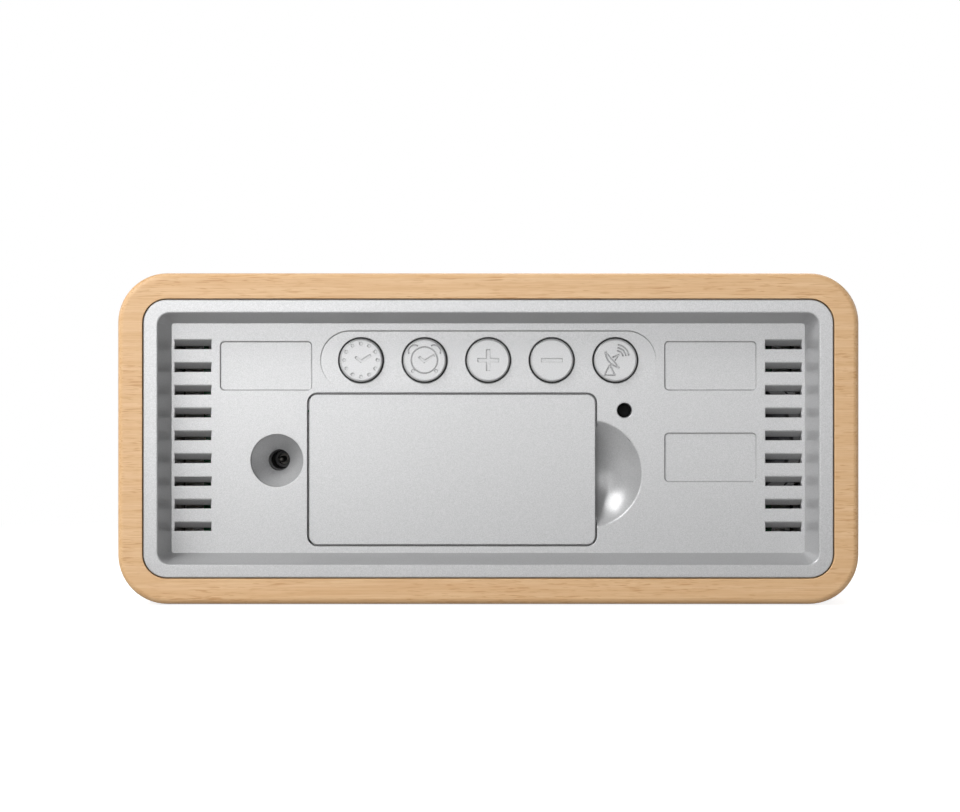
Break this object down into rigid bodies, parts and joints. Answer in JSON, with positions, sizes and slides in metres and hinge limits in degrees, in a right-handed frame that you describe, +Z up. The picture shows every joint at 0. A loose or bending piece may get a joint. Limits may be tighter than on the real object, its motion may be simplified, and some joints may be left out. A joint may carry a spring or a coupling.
{
  "type": "projection alarm clock",
  "caption": "Projection alarm clock: light wood sleeve with silver display front and silver rear cover with buttons, battery door, power socket; snooze key and tilting projector on top.",
  "frame": {"origin": "centre of the footprint, on the surface that the feet stand on", "axes": "+X to the right of a person who faces the display, +Y out of the back towards the side with the buttons, +Z up; the display faces -Y"},
  "size_m": [0.15, 0.05, 0.0683],
  "materials": {
    "beech": "satin clear lacquer over light wood",
    "silver_plastic": "satin silver",
    "smoked_window": "gloss, smoked",
    "display_glass": "dark",
    "clear_plastic": "clear, polished",
    "black_foam": "dull",
    "white_plastic": "dull",
    "black_plastic": "satin",
    "circuit_board": "glossy solder mask",
    "steel": "zinc plated",
    "spring_steel": "nickel plated",
    "ferrite": "dull",
    "magnet_steel": "zinc plated",
    "copper_wire": "enamelled",
    "cell_sleeve": "gloss",
    "gold_contact": "plated",
    "paper_cone": "dull",
    "soft_pad": "soft, translucent",
    "lead_cover": "satin",
    "lamp": "gloss"
  },
  "bodies": {
    "clock": {"wood_case": "beech", "foot_pads": "soft_pad", "front_bezel": "silver_plastic", "display_window": "smoked_window", "display_gasket": "black_foam", "lcd_glass": "display_glass", "light_guide": "clear_plastic", "contact_strips": "black_foam", "display_chassis": "white_plastic", "chassis_screws": "steel", "main_board": "circuit_board", "board_components": "black_plastic", "board_screws": "steel", "antenna_rod": "ferrite", "antenna_coil": "copper_wire", "antenna_clips": "white_plastic", "rear_cover": "silver_plastic", "case_screws": "steel", "upper_cell": "cell_sleeve", "lower_cell": "cell_sleeve", "bridge_contact": "spring_steel", "positive_contact": "spring_steel", "negative_contact": "spring_steel", "contact_springs": "spring_steel", "key_board": "circuit_board", "key_switches": "black_plastic", "key_board_screws": "steel", "dc_jack": "black_plastic", "dc_jack_pin": "gold_contact", "jack_board": "circuit_board", "jack_board_screws": "steel", "speaker_basket": "steel", "speaker_cone": "paper_cone", "speaker_magnet": "magnet_steel", "snooze_carrier": "silver_plastic", "snooze_board": "circuit_board", "snooze_switches": "black_plastic", "snooze_board_screws": "steel", "projector_cradle": "silver_plastic", "top_screws": "steel", "key_ribbon": "white_plastic", "hookup_leads": "lead_cover"},
    "battery_door": {"battery_door": "silver_plastic"},
    "time_button": {"time_button": "silver_plastic"},
    "alarm_button": {"alarm_button": "silver_plastic"},
    "plus_button": {"plus_button": "silver_plastic"},
    "minus_button": {"minus_button": "silver_plastic"},
    "signal_button": {"signal_button": "silver_plastic"},
    "reset_button": {"reset_button": "black_plastic"},
    "snooze_key": {"snooze_key": "silver_plastic"},
    "projector": {"projector_drum": "silver_plastic", "projector_slide": "display_glass", "condenser_lens": "clear_plastic", "projector_led": "lamp"},
    "focus": {"focus_ring": "black_plastic", "projection_lens": "clear_plastic"}
  },
  "joints": [
    {"name": "battery_door_swing", "type": "hinge", "parent": "clock", "child": "battery_door", "pos_m": [0.03698, 0.0174, 0.02735], "axis": [0, 0, -1], "range_deg": [0, 60]},
    {"name": "time_button_press", "type": "slide", "parent": "clock", "child": "time_button", "axis": [0, -1, 0], "range_m": [0, 0.0006], "stiffness_N_per_m": 600, "springref_m": -0.0008},
    {"name": "alarm_button_press", "type": "slide", "parent": "clock", "child": "alarm_button", "axis": [0, -1, 0], "range_m": [0, 0.0006], "stiffness_N_per_m": 600, "springref_m": -0.0008},
    {"name": "plus_button_press", "type": "slide", "parent": "clock", "child": "plus_button", "axis": [0, -1, 0], "range_m": [0, 0.0006], "stiffness_N_per_m": 600, "springref_m": -0.0008},
    {"name": "minus_button_press", "type": "slide", "parent": "clock", "child": "minus_button", "axis": [0, -1, 0], "range_m": [0, 0.0006], "stiffness_N_per_m": 600, "springref_m": -0.0008},
    {"name": "signal_button_press", "type": "slide", "parent": "clock", "child": "signal_button", "axis": [0, -1, 0], "range_m": [0, 0.0006], "stiffness_N_per_m": 600, "springref_m": -0.0008},
    {"name": "reset_button_press", "type": "slide", "parent": "clock", "child": "reset_button", "axis": [0, -1, 0], "range_m": [0, 0.0005], "stiffness_N_per_m": 600, "springref_m": -0.0008},
    {"name": "snooze_key_press", "type": "slide", "parent": "clock", "child": "snooze_key", "axis": [0, 0, -1], "range_m": [0, 0.0006], "stiffness_N_per_m": 900, "springref_m": -0.0008},
    {"name": "projector_tilt", "type": "hinge", "parent": "clock", "child": "projector", "pos_m": [0.0475, 0.002, 0.0583], "axis": [1, 0, 0], "range_deg": [-35, 35]},
    {"name": "focus_turn", "type": "hinge", "parent": "projector", "child": "focus", "pos_m": [0.0475, 0.002, 0.0653], "axis": [0, 0, 1], "range_deg": [-40, 40]}
  ]
}
